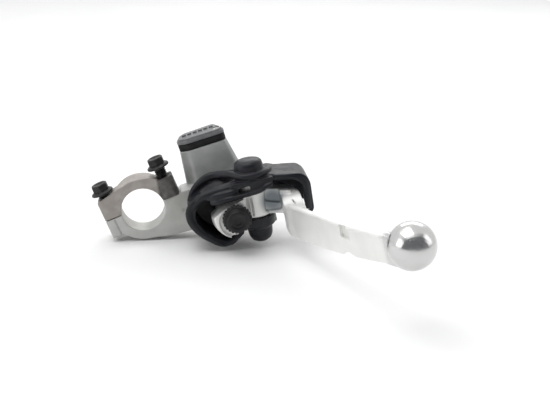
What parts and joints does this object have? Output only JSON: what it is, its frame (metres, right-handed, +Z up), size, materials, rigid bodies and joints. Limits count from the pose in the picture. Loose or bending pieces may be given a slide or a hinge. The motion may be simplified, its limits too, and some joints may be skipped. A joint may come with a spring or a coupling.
{
  "type": "motorcycle hand lever and master cylinder",
  "caption": "Hand lever on a hydraulic master cylinder with bar clamp, fluid reservoir and lid, knurled reach adjuster, rubber dust cover and a ball-ended blade.",
  "frame": {"origin": "centre of the handlebar bore, half way along the clamp", "axes": "+Y along the handlebar towards its middle, +X from the bar to the lever, +Z up from the table the unit lies on"},
  "size_m": [0.1435, 0.183, 0.0559],
  "materials": {
    "cast_alloy": "satin cast, slightly dirty",
    "cap_alloy": "rough cast",
    "polished_alloy": "polished",
    "piston_alloy": "anodised",
    "black_steel": "black oxide",
    "plated_steel": "zinc plated",
    "bush_bronze": "sintered",
    "lid_plastic": "moulded",
    "knob_plastic": "knurled",
    "cover_rubber": "moulded rubber",
    "seal_rubber": "moulded rubber"
  },
  "bodies": {
    "base": {"perch_body": "cast_alloy", "clamp_cap": "cap_alloy", "clamp_bolt_left": "black_steel", "clamp_bolt_right": "black_steel", "reservoir_lid": "lid_plastic", "lid_screw": "plated_steel", "diaphragm": "seal_rubber", "dust_cover": "cover_rubber", "pivot_bolt": "plated_steel", "pivot_nut": "plated_steel", "thrust_washer_upper": "plated_steel", "thrust_washer_lower": "plated_steel", "circlip": "plated_steel", "return_spring": "plated_steel", "piston_bellows": "seal_rubber"},
    "lever": {"lever": "polished_alloy", "lever_bush": "bush_bronze"},
    "barrel": {"adjuster_barrel": "plated_steel"},
    "rod": {"push_rod": "plated_steel"},
    "knob": {"adjuster_knob": "knob_plastic"},
    "piston": {"piston": "piston_alloy", "primary_cup": "seal_rubber", "secondary_cup": "seal_rubber"}
  },
  "joints": [
    {"name": "lever_pull", "type": "hinge", "parent": "base", "child": "lever", "pos_m": [0.05531, -0.02, 0.00995], "axis": [0.1771, 0, -0.9842], "range_deg": [0, 24], "stiffness_Nm_per_rad": 0.5, "springref_deg": -11.46},
    {"name": "barrel_swivel", "type": "hinge", "parent": "lever", "child": "barrel", "pos_m": [0.04468, -0.0223, 0.00804], "axis": [-0.1771, 0, 0.9842], "range_deg": [0, 24.5]},
    {"name": "knob_turn", "type": "hinge", "parent": "barrel", "child": "knob", "pos_m": [0.04575, -0.032, 0.00213], "axis": [0, 1, 0], "range_deg": [0, 541]},
    {"name": "rod_reach", "type": "slide", "parent": "barrel", "child": "rod", "axis": [0, -1, 0], "range_m": [0, 0.0012]},
    {"name": "piston_stroke", "type": "slide", "parent": "base", "child": "piston", "axis": [0, 1, 0], "range_m": [0, 0.0047], "deforming": ["return_spring", "piston_bellows"]}
  ],
  "couplings": [
    {"joint": "barrel_swivel", "follows": "lever_pull", "ratio": 1},
    {"joint": "piston_stroke", "follows": "lever_pull", "m_per_rad": 0.010963},
    {"joint": "knob_turn", "follows": "rod_reach", "rad_per_m": 7854}
  ]
}
